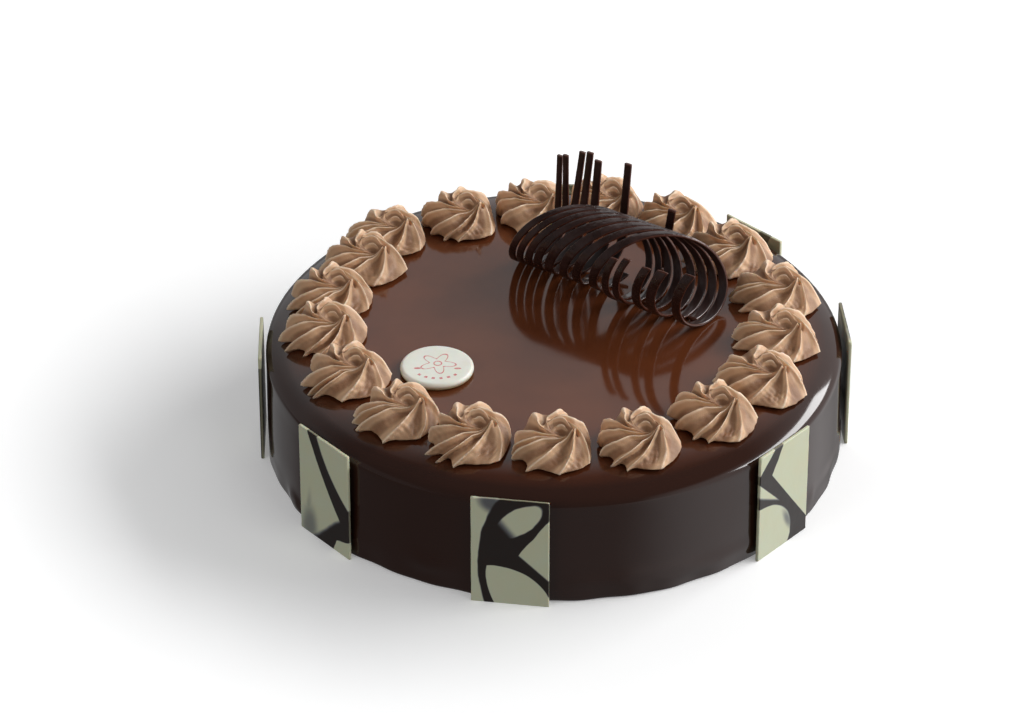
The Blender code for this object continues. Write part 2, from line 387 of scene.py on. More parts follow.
def cake_profile():
    """Radius and height from just off the middle of the top to the edge of the underside."""
    start = CAKE_RADIUS - SHOULDER_WIDTH
    top = [(r, CAKE_HEIGHT) for r in np.linspace(3 * MM, start, 28)]
    shoulder = []
    for turn in np.linspace(0, math.pi / 2, 26)[1:]:
        distance = start + SHOULDER_WIDTH * math.sin(turn)
        shoulder.append((distance, CAKE_HEIGHT - SHOULDER_DROP * (1 - math.cos(turn))))
    side = []
    for height in np.linspace(CAKE_HEIGHT - SHOULDER_DROP, FOOT_ROUNDING, 34)[1:]:
        share = height / (CAKE_HEIGHT - SHOULDER_DROP)
        side.append((FOOT_RADIUS + (CAKE_RADIUS - FOOT_RADIUS) * share, height))
    foot = []
    for turn in np.linspace(0, math.pi / 2, 6)[1:]:
        inwards = FOOT_ROUNDING * (1 - math.cos(turn))
        foot.append((FOOT_RADIUS - inwards, FOOT_ROUNDING * (1 - math.sin(turn))))
    return np.array(top + shoulder + side + foot)


print("profile of the cake", len(cake_profile()), "points")

# %% Cake body
CAKE_AROUND = 720


def foot_folds(angle, height, seed):
    """How far the thick folds of glaze near the foot stand out, in metres."""
    draw = random.Random(seed)
    out = np.zeros_like(angle)
    for _ in range(34):
        middle, width = draw.uniform(0, 2 * math.pi), draw.uniform(0.03, 0.16)
        level, spread = draw.uniform(4, 12) * MM, draw.uniform(2.5, 5) * MM
        depth = draw.uniform(0.15, 0.75) * MM
        apart = np.abs((angle - middle + math.pi) % (2 * math.pi) - math.pi)
        out += depth * np.exp(-((apart / width) ** 2) - ((height - level) / spread) ** 2)
    return out


def make_cake(material):
    profile = cake_profile()
    turns = np.linspace(0, 2 * math.pi, CAKE_AROUND, endpoint=False)
    radius, turn = np.meshgrid(profile[:, 0], turns, indexing="ij")
    height = np.repeat(profile[:, 1][:, None], CAKE_AROUND, axis=1)
    along = turn * CAKE_RADIUS
    on_side = np.clip((CAKE_HEIGHT - height) / (1.8 * SHOULDER_DROP), 0, 1)
    low = np.clip(1 - height / (22 * MM), 0, 1)
    waves = ripple(3, (0.1967, 0.1311, 0.0875, 0.0562))(along, height * 1.4) * 0.3 * MM - 0.3 * MM
    foot_line = ripple(8, (0.0984, 0.0525, 0.0303, 0.0207))(along, height) * 0.9 * MM - 0.5 * MM
    radius = radius + on_side * waves + low**2 * foot_line
    radius = np.minimum(radius + foot_folds(turn, height, 5), FOOT_RADIUS)
    x, y = radius * np.cos(turn), radius * np.sin(turn)
    # The top is nearly level, and the glaze gathers in a faint ridge shortly before the side
    sag = ripple(21, (0.19, 0.12, 0.083, 0.051))(x, y) * 0.07 * MM
    ridge = 0.14 * MM * np.exp(-(((radius - 117 * MM) / (2.4 * MM)) ** 2))
    height = height + (1 - on_side) ** 2 * (sag + ridge)
    points = np.stack([x, y, height], axis=-1).reshape(-1, 3)
    middle = len(points)
    points = np.vstack([points, [[0, 0, points[:CAKE_AROUND, 2].mean()]]])
    # The rings run downwards here, so every face is turned round to look outwards
    faces = [face[::-1] for face in sleeve_faces(len(profile), CAKE_AROUND, middle, None)]
    return add_piece("glazed_cake", points, faces, material, ["cake"])


print("points round the cake", CAKE_AROUND)

# %% Glaze finish
TOP_BROWN = colour(0.128, 0.036, 0.0125)
TOP_BROWN_DEEP = colour(0.100, 0.027, 0.0095)
RIM_BROWN_PAINTED_SHADE = colour(0.078, 0.020, 0.0072)
SIDE_BROWN_PAINTED_SHADE = colour(0.030, 0.0100, 0.0058)


def glaze_finish():
    """Dark glossy glaze: red-brown on the level top, with painted shade that deepens it at the rim
    and makes it nearly black below.
    """
    material, shader, paint = new_finish("mirror_glaze", 0.07)
    place = paint.node("ShaderNodeNewGeometry")
    x, y, height = paint.split(place)
    cloud = paint.noise(place, 38.0, 3.0)
    top = paint.blend(TOP_BROWN_DEEP, TOP_BROWN, paint.rise(cloud, 0.3, 0.7))
    # Painted shade: the top's brown darkens towards the rosette ring and the rim
    top = paint.blend(top, RIM_BROWN_PAINTED_SHADE, paint.rise((x * x + y * y) ** 0.5, 86 * MM, 103 * MM))
    # Painted shade: below the top, the shoulder and side take a nearly black brown
    on_top = paint.rise(height, CAKE_HEIGHT - 0.34 * SHOULDER_DROP, CAKE_HEIGHT)
    paint.feed(shader.inputs["Base Color"], paint.blend(SIDE_BROWN_PAINTED_SHADE, top, on_top))
    haze = paint.noise(place, 17.0, 3.0)
    paint.feed(shader.inputs["Roughness"], haze * 0.07 + 0.06)
    pits = paint.rise(paint.noise(place, 7.0, 1.0), 0.79, 0.84)
    swell = paint.noise(place, 24.0, 1.0)
    bump(paint, shader, swell - pits * 0.35, 0.16)
    return material


cake = make_cake(glaze_finish())
print("cake body", len(cake.data.polygons), "faces")

# %% [markdown]
# ## The cream rosettes
# Each rosette is one short spiral of chocolate buttercream from a star nozzle, pulled away towards
# its tip. The nozzle leaves deep grooves that turn as the cream rises. The spiral closes round an
# open hollow, with a rim that stands tall at the back and low in front, and inside it the earlier
# turns show as thin crescents. A rosette could be swept along a spiral, but the turns would then
# run into each other. Here it is a stack of closed rings instead, from the foot up over the rim
# and down into the hollow, and each ring is shaped by formulas for the ridges, height and tip.

# %% Where the rosettes stand
ROSETTE_PLACES = [
    (-0.4, -95.1), (35.1, -92.0), (67.3, -71.7), (88.4, -45.3), (96.4, -11.0), (97.0, 23.9),
    (77.4, 57.3), (53.8, 85.4), (22.9, 96.9), (-9.7, 93.8), (-42.3, 86.5), (-74.5, 72.4),
    (-84.0, 47.9), (-97.5, 21.3), (-99.1, -7.9), (-87.8, -42.2), (-64.6, -72.8), (-34.5, -89.4),
]
ROSETTE_RADIUS_X = 20.0 * MM
ROSETTE_RADIUS_Y = 17.4 * MM
TOP_OF_CAKE = CAKE_HEIGHT + 0.3 * MM
WALL_SOFTNESS = 4.5 * MM
WALL_CLEARANCE = 0.2 * MM


def press_against(x, y, centre, neighbours):
    """Presses points softly against the upright planes half-way to the neighbours."""
    for other in neighbours:
        towards = other - centre
        wall = np.hypot(*towards) / 2 - WALL_CLEARANCE
        towards = towards / np.hypot(*towards)
        reach = x * towards[0] + y * towards[1]
        past = np.maximum(reach - (wall - WALL_SOFTNESS), 0)
        pressed = wall - WALL_SOFTNESS * np.exp(-past / WALL_SOFTNESS)
        push = np.where(past > 0, pressed - reach, 0)
        x, y = x + towards[0] * push, y + towards[1] * push
    return x, y


centres = [np.array(place) * MM for place in ROSETTE_PLACES]
ring_width = 2 * np.mean([np.hypot(*centre) for centre in centres])
print("rosettes", len(centres), "on a ring", round(ring_width / MM), "mm across")

# %% Height of the swirl
RIM_HEIGHT = 11.7 * MM
RIM_TILT = 3.1 * MM
FOOT_LIFT = 1.9 * MM
EYE_FLOOR = 6.6 * MM
EYE_SHARE = 0.38
CRESCENT_HEIGHT = 1.5 * MM
CRESCENT_PLACES = (0.70, 0.42)


def smooth(value):
    value = np.clip(value, 0, 1)
    return value * value * (3 - 2 * value)


def crescents(share, angle):
    """Where earlier turns of the spiral show inside the hollow, as low crescents at the back."""
    rings = sum(np.exp(-(((share - part * EYE_SHARE) / 0.021) ** 2)) for part in CRESCENT_PLACES)
    return rings * smooth(0.25 + np.cos(angle - 1.7))


def swirl_height(share, angle):
    """Height of the crests: a rim round the hollow that is tall at the back and low in front."""
    rim = RIM_HEIGHT + RIM_TILT * np.cos(angle - 1.95)
    steep = 2.8 + 1.1 * np.cos(angle - 2.5)
    past = np.clip((share - EYE_SHARE) / (1 - EYE_SHARE), 0, 1)
    outside = FOOT_LIFT + (rim - FOOT_LIFT) * (1 - past**steep)
    inside = EYE_FLOOR + (rim - EYE_FLOOR) * smooth(share / EYE_SHARE)
    inside = inside + CRESCENT_HEIGHT * crescents(share, angle)
    return np.where(share > EYE_SHARE, outside, inside)


rim_front, rim_back = swirl_height(EYE_SHARE, np.array((-math.pi / 2, math.pi / 2))) / MM
print("rim", round(rim_front, 1), "mm high in front and", round(rim_back, 1), "mm at the back")

# %% Rings and ridges
RIDGES = 9
ROSETTE_RINGS = 84
FOOT_RINGS = 6
ROSETTE_AROUND = 216
FOOT_TUCK = 0.13


def ring_stack():
    """Each ring's share of the radius, lift off the glaze and tuck, from the foot inwards."""
    foot = np.linspace(0, 1, FOOT_RINGS, endpoint=False)
    above = np.linspace(1, 0, ROSETTE_RINGS - FOOT_RINGS, endpoint=False)
    shares = np.append(np.ones(FOOT_RINGS), above)
    lift = np.append(foot, np.ones(len(above)))
    # The foot is tucked in, so the petals' tips stand out over a dark gap
    tuck = np.append(1 - FOOT_TUCK * (1 - np.sin(foot * math.pi / 2)), np.ones(len(above)))
    return shares, lift[:, None], tuck[:, None]


def ridges(share, turn, look):
    """The angle that each point has turned to, and how deep in a groove it lies, from 0 to 1."""
    skewed = turn + 0.45 / RIDGES * np.sin(RIDGES * turn)
    hollow = np.abs(np.sin(RIDGES * skewed / 2))
    uneven = 0.13 * np.sin(2 * turn + look["phase"]) + 0.08 * np.sin(3 * turn + 2.3 * look["phase"])
    swirl = look["swirl"] * (1.2 * (1 - share) + 1.15 * smooth((0.55 - share) / 0.38))
    # The ridges stand wider apart on the right, where the cream was laid last
    angle = turn + 0.36 * np.sin(turn - 0.1) + uneven + look["spin"] + swirl
    return angle, hollow


print("ridges", RIDGES, "with", ROSETTE_AROUND // RIDGES, "points each")

# %% Pulled tip and torn cream
# The hollow's middle and the pulled tip, both from the rosette's middle
EYE = np.array((4.2, 2.9)) * MM
TIP = np.array((9.2, -2.6)) * MM
TIP_HEIGHT = 5.4 * MM
TIP_WIDTH = 3.0 * MM
PULL_SHARE = 0.48
PULL_WIDTH = 5.2 * MM
TORN = np.array((7.0, -10.5)) * MM
TORN_WIDTH = np.array((6.0, 3.6)) * MM


def pull_to_tip(x, y):
    """Draws the cream together where the nozzle came off, and gives the distance to the tip."""
    away = np.hypot(x - TIP[0], y - TIP[1])
    pull = PULL_SHARE * np.exp(-((away / PULL_WIDTH) ** 2))
    x, y = x + (TIP[0] - x) * pull, y + (TIP[1] - y) * pull
    return x, y, np.hypot(x - TIP[0], y - TIP[1])


def rough_and_torn(x, y, z, seed):
    """Slight roughness all over, and shreds low on the right, where the cream tore."""
    rough = ripple(seed, (0.009, 0.006, 0.0043, 0.003))(x + z, y - z)
    torn = np.exp(-(((x - TORN[0]) / TORN_WIDTH[0]) ** 2) - ((y - TORN[1]) / TORN_WIDTH[1]) ** 2)
    shreds = ripple(seed + 50, (0.0073, 0.0049, 0.0035, 0.0026))(1.4 * x + z, 1.2 * y - 0.6 * x)
    return rough, torn * shreds


print("tip", round(np.hypot(*TIP) / MM, 1), "mm from the middle")

# %% Points of one rosette
EYE_FLATNESS = 0.30


def rosette_points(look, centre, neighbours, seed):
    """Points of one rosette ring by ring, and how high on its ridge each point lies, which sets a
    painted highlight on the crests and painted shade in the grooves and the hollow.
    """
    shares, lift, tuck = ring_stack()
    turns = np.linspace(0, 2 * math.pi, ROSETTE_AROUND, endpoint=False)
    share, turn = np.meshgrid(shares, turns, indexing="ij")
    angle, hollow = ridges(share, turn, look)
    # Grooves are deepest on the left and softest at the back
    leftness = np.clip(np.cos(angle - 3.6), 0, 1)
    backness = np.clip(np.cos(angle - 2.0), 0, 1) * smooth((share - 0.4) / 0.3)
    hollow = hollow ** (0.8 + 1.3 * backness)
    groove = (0.07 + 0.23 * leftness) * smooth(share / 0.55)
    reach = share * tuck * (1 - groove * hollow) * (1 + 0.05 * leftness) * look["size"]
    x = EYE[0] * (1 - share) + ROSETTE_RADIUS_X * reach * np.cos(angle)
    flat = 1 - EYE_FLATNESS * smooth((0.8 - share) / 0.5)
    y = EYE[1] * (1 - share) + ROSETTE_RADIUS_Y * reach * flat * np.sin(angle)
    x, y, away = pull_to_tip(x, y)
    place = np.arctan2(y - EYE[1], x - EYE[0])
    z = swirl_height(share, place)
    dent = look["groove"] * smooth((share - 0.27) / 0.22) * smooth((1.12 - share) / 0.42)
    z = z - dent * (1 - 0.25 * backness) * hollow + TIP_HEIGHT * np.exp(-((away / TIP_WIDTH) ** 1.5))
    rough, shreds = rough_and_torn(x, y, z, seed)
    z = z * look["height"] * (1 + 0.02 * rough) + shreds * 0.75 * MM
    z = np.maximum(z, 0.3 * MM) * lift
    spread = 1 + 0.018 * rough + shreds * 0.035
    x, y = press_against(x * spread, y * spread, centre, neighbours)
    x, y = centre[0] + x, centre[1] + y
    points = np.stack([x, y, TOP_OF_CAKE + z - shoulder_sag(np.hypot(x, y))], axis=-1)
    # Painted light mark: 1 on the crests for a painted highlight, low in the grooves and, but for the
    # crescents, in the hollow for painted shade
    painted_crest_light = 1 - hollow * smooth((share - 0.2) / 0.25)
    inside = smooth((EYE_SHARE - share) / 0.06)
    painted_crest_light = painted_crest_light * (1 - inside) + (0.06 + 0.94 * crescents(share, place)) * inside
    return points, painted_crest_light


print("points of one rosette", ROSETTE_RINGS * ROSETTE_AROUND)

# %% Eighteen looks
def rosette_looks():
    """Small differences from rosette to rosette."""
    draw = random.Random(11)
    looks = []
    for _ in ROSETTE_PLACES:
        looks.append({
            "size": draw.uniform(0.96, 1.03),
            "height": draw.uniform(0.94, 1.06),
            "spin": draw.uniform(-0.35, 0.35),
            "swirl": draw.uniform(0.86, 1.1),
            "phase": draw.uniform(0, 2 * math.pi),
            "groove": 3.5 * MM * draw.uniform(0.85, 1.1),
        })
    return looks


print("sizes", [round(look["size"], 2) for look in rosette_looks()])

# %% Cream finish
# A painted highlight for the crests and painted shade for the grooves and the hollow, round the
# cream's own colour
CREAM_PAINTED_HIGHLIGHT = colour(0.88, 0.66, 0.48)
CREAM_MAIN = colour(0.65, 0.415, 0.252)
CREAM_PAINTED_SHADE = colour(0.27, 0.138, 0.074)


def cream_finish():
    """Matt chocolate buttercream, with a painted highlight along the crests and painted shade, warmer
    and darker, in the grooves.
    """
    material, shader, paint = new_finish("chocolate_buttercream", 0.55, 1.45)
    place = paint.node("ShaderNodeNewGeometry")
    painted_crest_light = paint.node("ShaderNodeAttribute", {"attribute_name": "painted_crest_light"}, None, output=2)
    # Painted light from the mark: shade in the grooves and the hollow, a highlight on the crests
    body = paint.blend(CREAM_PAINTED_SHADE, CREAM_MAIN, paint.rise(painted_crest_light, 0.0, 0.35))
    body = paint.blend(body, CREAM_PAINTED_HIGHLIGHT, paint.rise(painted_crest_light, 0.62, 0.96))
    patch = paint.noise(place, 9.0, 3.0)
    body = paint.blend(body, CREAM_MAIN, paint.rise(patch, 0.35, 0.8) * 0.5)
    paint.feed(shader.inputs["Base Color"], body)
    shader.inputs["Subsurface Weight"].default_value = 0.12
    shader.inputs["Subsurface Scale"].default_value = 0.003
    shader.inputs["Subsurface Radius"].default_value = (1.0, 0.5, 0.25)
    grain = paint.noise(place, 0.55, 3.0, 0.6)
    lumps = paint.noise(place, 2.6, 2.0)
    paint.feed(shader.inputs["Roughness"], lumps * 0.2 + 0.45)
    bump(paint, shader, grain * 0.5 + lumps, 0.22)
    return material


cream = cream_finish()
print("cream nodes", len(cream.node_tree.nodes))

# %% Pipe the rosettes
for number, look in enumerate(rosette_looks()):
    beside = [centres[number - 1], centres[(number + 1) % len(centres)]]
    grid, painted_crest_light = rosette_points(look, centres[number], beside, 100 + number)
    points = np.vstack([grid.reshape(-1, 3), [grid[-1].mean(axis=0)]])
    faces = sleeve_faces(ROSETTE_RINGS, ROSETTE_AROUND, None, len(points) - 1)
    node = f"rosette_{number + 1:02d}"
    # The painted light mark, for highlight and shade in the cream's colour
    marks = {"painted_crest_light": np.append(painted_crest_light.ravel(), 1.0)}
    add_piece(node + "_piped", points, faces, cream, [node], marks)
print("rosettes", len(centres), "with", len(faces), "faces each")

# %% [markdown]
# ## The curl of combed chocolate
# Melted chocolate was combed into ribbons and rolled up before it set, so the strips wind side by
# side round a tube that widens. A curve object with a bevel could make them, but its section may
# twist along a coil. So each strip's centre line is followed with many short steps, and a rounded
# section is carried along it, always level with the curl's axis. It is widest over the crown, and
# its width and thickness vary a little, because the comb skips and the chocolate runs.

# %% Strips
CURL_START = np.array((-12.5, 60.3, 0)) * MM
CURL_AXIS = np.array((0.848, -0.559, 0))
LOOP_SIDEWAYS = np.array((-13.2, -9.0, 0)) * MM
LOOP_UPWARD = np.array((-2.4, -0.9, 14.0)) * MM
LOOP_GROWTH_PER_TURN = 0.48
STICK_GROWTH = 0.30
STRIP_THICKNESS = 1.7 * MM
STRIP_FLOOR = TOP_OF_CAKE + STRIP_THICKNESS / 2
# First-turn place, place a turn later, width, radians past the second bottom, standing end's
# height above the cake, and its lean, in mm
STRIPS = [
    (0.0, 56.3, 3.5, 2.08, 45.5, (0.7, 0.3)), (3.9, 61.3, 3.5, 2.13, 47.0, (0.0, 0.3)),
    (8.3, 66.1, 3.9, 0.25, 50.0, (3.6, 0.5)), (12.8, 71.3, 4.3, 2.11, 51.5, (3.2, 0.0)),
    (18.5, 78.3, 4.7, 2.13, 49.5, (1.9, -0.5)), (26.3, 83.7, 4.5, 0.32, None, None),
    (33.5, 88.5, 4.5, 0.20, 52.0, (2.2, 1.0)), (43.0, 93.3, 4.4, 2.26, None, None),
]
BROKEN_START = {6: -1.15, 8: -0.55}


def loop_point(first, second, angle):
    """A strip's centre line at an angle past its first bottom, rising on the viewer's left."""
    turn = angle / (2 * math.pi)
    growth = 1 + (LOOP_GROWTH_PER_TURN * turn if angle >= 0 else -4 * STICK_GROWTH * turn)
    along = first + (second - first) * max(turn, 0)
    point = CURL_START + CURL_AXIS * along * MM + np.array((0, 0, STRIP_FLOOR))
    return point + growth * (LOOP_SIDEWAYS * math.sin(angle) + LOOP_UPWARD * (1 - math.cos(angle)))


first_crown = loop_point(*STRIPS[0][:2], math.pi)
print("strips", len(STRIPS), "the first crown at", round(first_crown[2] / MM, 1), "mm")

# %% Centre lines
STRIP_STEP = 0.035
# How much wider each strip is over the crown, and how narrow a stick is at its top
CROWN_WIDENING = {1: 0.14, 2: 0.14, 3: 0.12, 4: 0.05, 5: 0.28, 6: 0.28, 7: 0.14, 8: 0.28}
STICK_TOP_WIDTH = 0.80


def strip_line(number, first, second, past_bottom, stick_height, lean):
    """The centre line of one strip, and how wide it is along it: widest over the crown."""
    start = BROKEN_START.get(number, -math.pi / 2)
    end = 2 * math.pi + past_bottom
    angles = np.arange(start, end, STRIP_STEP)
    line = [loop_point(first, second, a) for a in angles]
    wide = [1 + CROWN_WIDENING[number] * max(0, -math.cos(a)) ** 0.7 for a in angles]
    if stick_height is not None:
        foot = line[0]
        top = np.array((foot[0] + lean[0] * MM, foot[1] + lean[1] * MM,
                        TOP_OF_CAKE + stick_height * MM))
        steps = max(6, round((top[2] - foot[2]) / (0.8 * MM)))
        line = [top + (foot - top) * k / steps for k in range(steps)] + line
        narrowing = 1 - STICK_TOP_WIDTH
        wide = [STICK_TOP_WIDTH + narrowing * (k / steps) ** 2 for k in range(steps)] + wide
    return np.array(line), np.array(wide)


print("first centre line", len(strip_line(1, *STRIPS[0][:2], *STRIPS[0][3:])[0]), "points")

# %% Section of a strip
SECTION_POINTS = 18


def carry_section(line, widths, thickness, seed):
    """Carries a rounded flat section along a line. Also gives edge and inner-face marks."""
    tangent = np.gradient(line, axis=0)
    across = CURL_AXIS / np.linalg.norm(CURL_AXIS)
    outward = np.cross(across, tangent)
    outward /= np.linalg.norm(outward, axis=1)[:, None]
    turn = np.linspace(0, 2 * math.pi, SECTION_POINTS, endpoint=False)
    cosine, sine = np.cos(turn), np.sin(turn)
    flat_x = np.sign(cosine) * np.abs(cosine) ** 0.42
    flat_y = np.sign(sine) * np.abs(sine) ** 0.55
    gone = np.cumsum(np.linalg.norm(np.diff(line, axis=0, prepend=line[:1]), axis=1))
    uneven = ripple(seed, (0.031, 0.019, 0.011, 0.0052))
    wide = (widths / 2 * (0.965 + 0.035 * uneven(gone, 0 * gone)))[:, None] * flat_x[None]
    deep = thickness / 2 * (0.93 + 0.07 * uneven(gone, 0.01 + 0 * gone))[:, None] * flat_y[None]
    points = line[:, None] + wide[..., None] * across + deep[..., None] * outward[:, None]
    edge = np.repeat((np.abs(cosine) > 0.93).astype(float)[None], len(line), axis=0)
    inner = np.repeat((sine > 0).astype(float)[None], len(line), axis=0)
    edge[0] = edge[-1] = 1.0
    return points, edge, inner


print("section", SECTION_POINTS, "points,", round(STRIP_THICKNESS / MM, 1), "mm thick")

# %% Dark chocolate finish
CHOCOLATE = colour(0.022, 0.0085, 0.0065)
CHOCOLATE_WORN = colour(0.038, 0.017, 0.0145)
CHOCOLATE_EDGE_PAINTED_GLOW = colour(0.085, 0.022, 0.010)


def chocolate_finish():
    """Satin dark chocolate, glossier inside the curl, with thin edges painted red-brown as light
    shining through them.
    """
    material, shader, paint = new_finish("dark_chocolate_strips", 0.3)
    place = paint.node("ShaderNodeNewGeometry")
    edge = paint.node("ShaderNodeAttribute", {"attribute_name": "edge"}, None, output=2)
    inner = paint.node("ShaderNodeAttribute", {"attribute_name": "inner"}, None, output=2)
    smear = paint.rise(paint.noise(place, 8.0, 3.0), 0.35, 0.75)
    body = paint.blend(CHOCOLATE, CHOCOLATE_WORN, smear)
    # Painted light: the thin edges take a red-brown glow of light shining through the chocolate
    paint.feed(shader.inputs["Base Color"], paint.blend(body, CHOCOLATE_EDGE_PAINTED_GLOW, edge * 0.85))
    paint.feed(shader.inputs["Roughness"], 0.36 - inner * 0.10 + smear * 0.08)
    shader.inputs["Specular IOR Level"].default_value = 0.42
    low = paint.rise(paint.split(place)[2], TOP_OF_CAKE + 16 * MM, TOP_OF_CAKE + 3 * MM)
    paint.feed(shader.inputs["Coat Weight"], (low * 0.8).smaller(1.0))
    shader.inputs["Coat Roughness"].default_value = 0.05
    runs = paint.noise(place, 2.2, 2.0)
    fine = paint.noise(place, 0.7, 2.0)
    bump(paint, shader, runs * (0.25 + inner * 0.9) + fine * 0.12, 0.35)
    return material


chocolate = chocolate_finish()
print("chocolate nodes", len(chocolate.node_tree.nodes))

# %% Roll the strips
for number, (first, second, width, past, height, lean) in enumerate(STRIPS, 1):
    line, wide = strip_line(number, first, second, past, height, lean)
    rings, edge, inner = carry_section(line, width * MM * wide, STRIP_THICKNESS, 300 + number)
    faces = sleeve_faces(len(line), SECTION_POINTS, None, None)
    node = f"curl_strip_{number}"
    marks = {"edge": edge.ravel(), "inner": inner.ravel()}
    add_piece(node + "_rolled", rings.reshape(-1, 3), faces, chocolate, [node], marks)
    print(node, len(line), "rings,", round(1000 * line[:, 2].max(), 1), "mm at its highest")

# %% Leaning shard
SHARD_FOOT = np.array((47.8, 51.0, 0.0)) * MM
SHARD_TIP = np.array((51.5, 45.8, 33.0)) * MM
SHARD_WIDTH = 4.0 * MM

shard_line = SHARD_FOOT + np.linspace(0.02, 1, 30)[:, None] * (SHARD_TIP - SHARD_FOOT)
shard_line[:, 2] += TOP_OF_CAKE
rings, edge, inner = carry_section(shard_line, SHARD_WIDTH, STRIP_THICKNESS, 320)
faces = sleeve_faces(len(shard_line), SECTION_POINTS, None, None)
marks = {"edge": edge.ravel(), "inner": inner.ravel()}
add_piece("curl_shard_broken", rings.reshape(-1, 3), faces, chocolate,
          ["curl_shard"], marks)
print("shard", round(np.linalg.norm(SHARD_TIP - SHARD_FOOT) / MM, 1), "mm long")

# %% [markdown]
# ## The medallion
# A cast disc of white chocolate lies on the glaze. Casting gives it a smooth face and a soft edge,
# and painted shade makes its low edge darker and yellower. Its face carries a small print in red
# food colour. Here that is a five-petalled flower over a row of dots. It could be cut from thin
# meshes, but printed colour has no height, so it is drawn in the material from the distance to the
# middle.

# %% Medallion finish
WHITE_CHOCOLATE = colour(0.84, 0.85, 0.77)
WHITE_WARM = colour(0.79, 0.77, 0.65)
LOW_EDGE_PAINTED_SHADE = colour(0.50, 0.42, 0.22)
PRINT_RED = colour(0.62, 0.075, 0.085)


def medallion_finish():
    """White chocolate, with painted shade that makes it darker and yellower low on the edge, and a
    worn red print on its face.
    """
    material, shader, paint = new_finish("printed_white_chocolate", 0.33, 1.45)
    place = paint.node("ShaderNodeTexCoord", None, None, output=3)
    x, y, z = paint.split(place)
    x, y, z = x * 1000, y * 1000, z * 1000
    cloud = paint.noise(place, 7.0, 3.0)
    body = paint.blend(WHITE_CHOCOLATE, WHITE_WARM, paint.rise(cloud, 0.4, 0.8) * 0.5)
    # Painted shade: the low edge turns a darker yellow where the disc meets the glaze
    body = paint.blend(LOW_EDGE_PAINTED_SHADE, body, paint.rise(z, 0.4, 2.6))
    # The flower: a wavy ring round a small one, then the dots and two leaves below it
    x, y = (x - 0.3) * 0.8, (y - 1.0) * 0.8
    reach = (x * x + y * y) ** 0.5
    angle = y.maths("ARCTAN2", y, x)
    petals = reach - (4.6 + 1.7 * (angle * 5 + 0.7).maths("COSINE", angle * 5 + 0.7))
    flower = paint.rise(abs(petals), 0.42, 0.16)
    heart = paint.rise(abs(reach - 1.3), 0.36, 0.12)
    dot_wave = (angle * 22).maths("COSINE", angle * 22)
    dots = paint.rise(abs(reach - 9.3), 0.62, 0.42) * paint.rise(dot_wave, 0.0, 0.5)
    dots = dots * paint.rise(y, -5.6, -6.2)
    leaf_x, leaf_y = abs(x) - 6.9, y + 3.1
    leaf = (leaf_x * leaf_x + leaf_y * leaf_y * 5) ** 0.5
    ink = flower.larger(heart).larger(dots).larger(paint.rise(leaf, 1.35, 1.05))
    worn = paint.rise(paint.noise(place, 0.9, 2.0), 0.28, 0.55)
    ink = ink * (0.45 + worn * 0.45) * paint.rise(z, 2.9, 3.2)
    paint.feed(shader.inputs["Base Color"], paint.blend(body, PRINT_RED, ink))
    paint.feed(shader.inputs["Roughness"], cloud * 0.14 + 0.26)
    shader.inputs["Subsurface Weight"].default_value = 0.15
    shader.inputs["Subsurface Scale"].default_value = 0.002
    bump(paint, shader, cloud + paint.noise(place, 1.5, 2.0) * 0.3, 0.12)
    return material


printed = medallion_finish()
print("medallion nodes", len(printed.node_tree.nodes))

# %% Medallion disc
MEDALLION_PLACE = (-49.9 * MM, -33.7 * MM, TOP_OF_CAKE)
MEDALLION_RADIUS = 15.8 * MM
MEDALLION_THICKNESS = 3.4 * MM
FACE_ROUNDING = 1.6 * MM
MEDALLION_AROUND = 128


def make_medallion():
    """Turns the disc: flat face, rounded edge, and a slight draw inwards to the underside."""
    flat_to = MEDALLION_RADIUS - FACE_ROUNDING
    profile = [(r, MEDALLION_THICKNESS) for r in np.linspace(1 * MM, flat_to, 14)]
    for turn in np.linspace(0, math.pi / 2, 9)[1:]:
        profile.append((MEDALLION_RADIUS - FACE_ROUNDING * (1 - math.sin(turn)),
                        MEDALLION_THICKNESS - FACE_ROUNDING * (1 - math.cos(turn))))
    profile += [(MEDALLION_RADIUS - 0.2 * MM, 0.8 * MM), (MEDALLION_RADIUS - 0.5 * MM, 0.3 * MM)]
    profile.append((MEDALLION_RADIUS - 1.0 * MM, 0.0))
    profile = np.array(profile)
    turns = np.linspace(0, 2 * math.pi, MEDALLION_AROUND, endpoint=False)
    wobble = ripple(40, (0.045, 0.02))
    rings = []
    for radius, height in profile:
        out = radius * (1 + 0.006 * wobble(0.016 * np.cos(turns), 0.016 * np.sin(turns)))
        rings.append(np.stack([out * np.cos(turns), out * np.sin(turns), height + 0 * turns], -1))
    points = np.vstack(rings + [[[0, 0, MEDALLION_THICKNESS]]])
    rings_down = sleeve_faces(len(profile), MEDALLION_AROUND, len(points) - 1, None)
    faces = [face[::-1] for face in rings_down]
    return add_piece("medallion_cast", points, faces, printed,
                     ["medallion"], place=MEDALLION_PLACE)


medallion = make_medallion()
print("medallion", [round(v / MM, 1) for v in medallion.dimensions], "mm")

# %% [markdown]
# ## The marbled plaques
# The plaques are thin sheets of white chocolate with dark chocolate brushed into them, cut to
# rectangles. The brush leaves curved dark bands, crisp on one side and smoky on the other, where
# thin dark chocolate over white looks bluish. Noise would give random marbling, but each of these
# patterns has a clear layout. So a pattern is written as the pale windows that the bands leave, and
# every window is where a few ovals and straight cuts overlap.

# %% Ovals and cuts
PLAQUE_WIDTH = 33 * MM
PLAQUE_HEIGHT = 52.5 * MM
PLAQUE_THICKNESS = 1.5 * MM
PALE = colour(0.60, 0.64, 0.49)
PALE_WARM = colour(0.62, 0.61, 0.40)
SMOKE = colour(0.16, 0.165, 0.17)
BAND_DARK = colour(0.020, 0.0125, 0.0100)


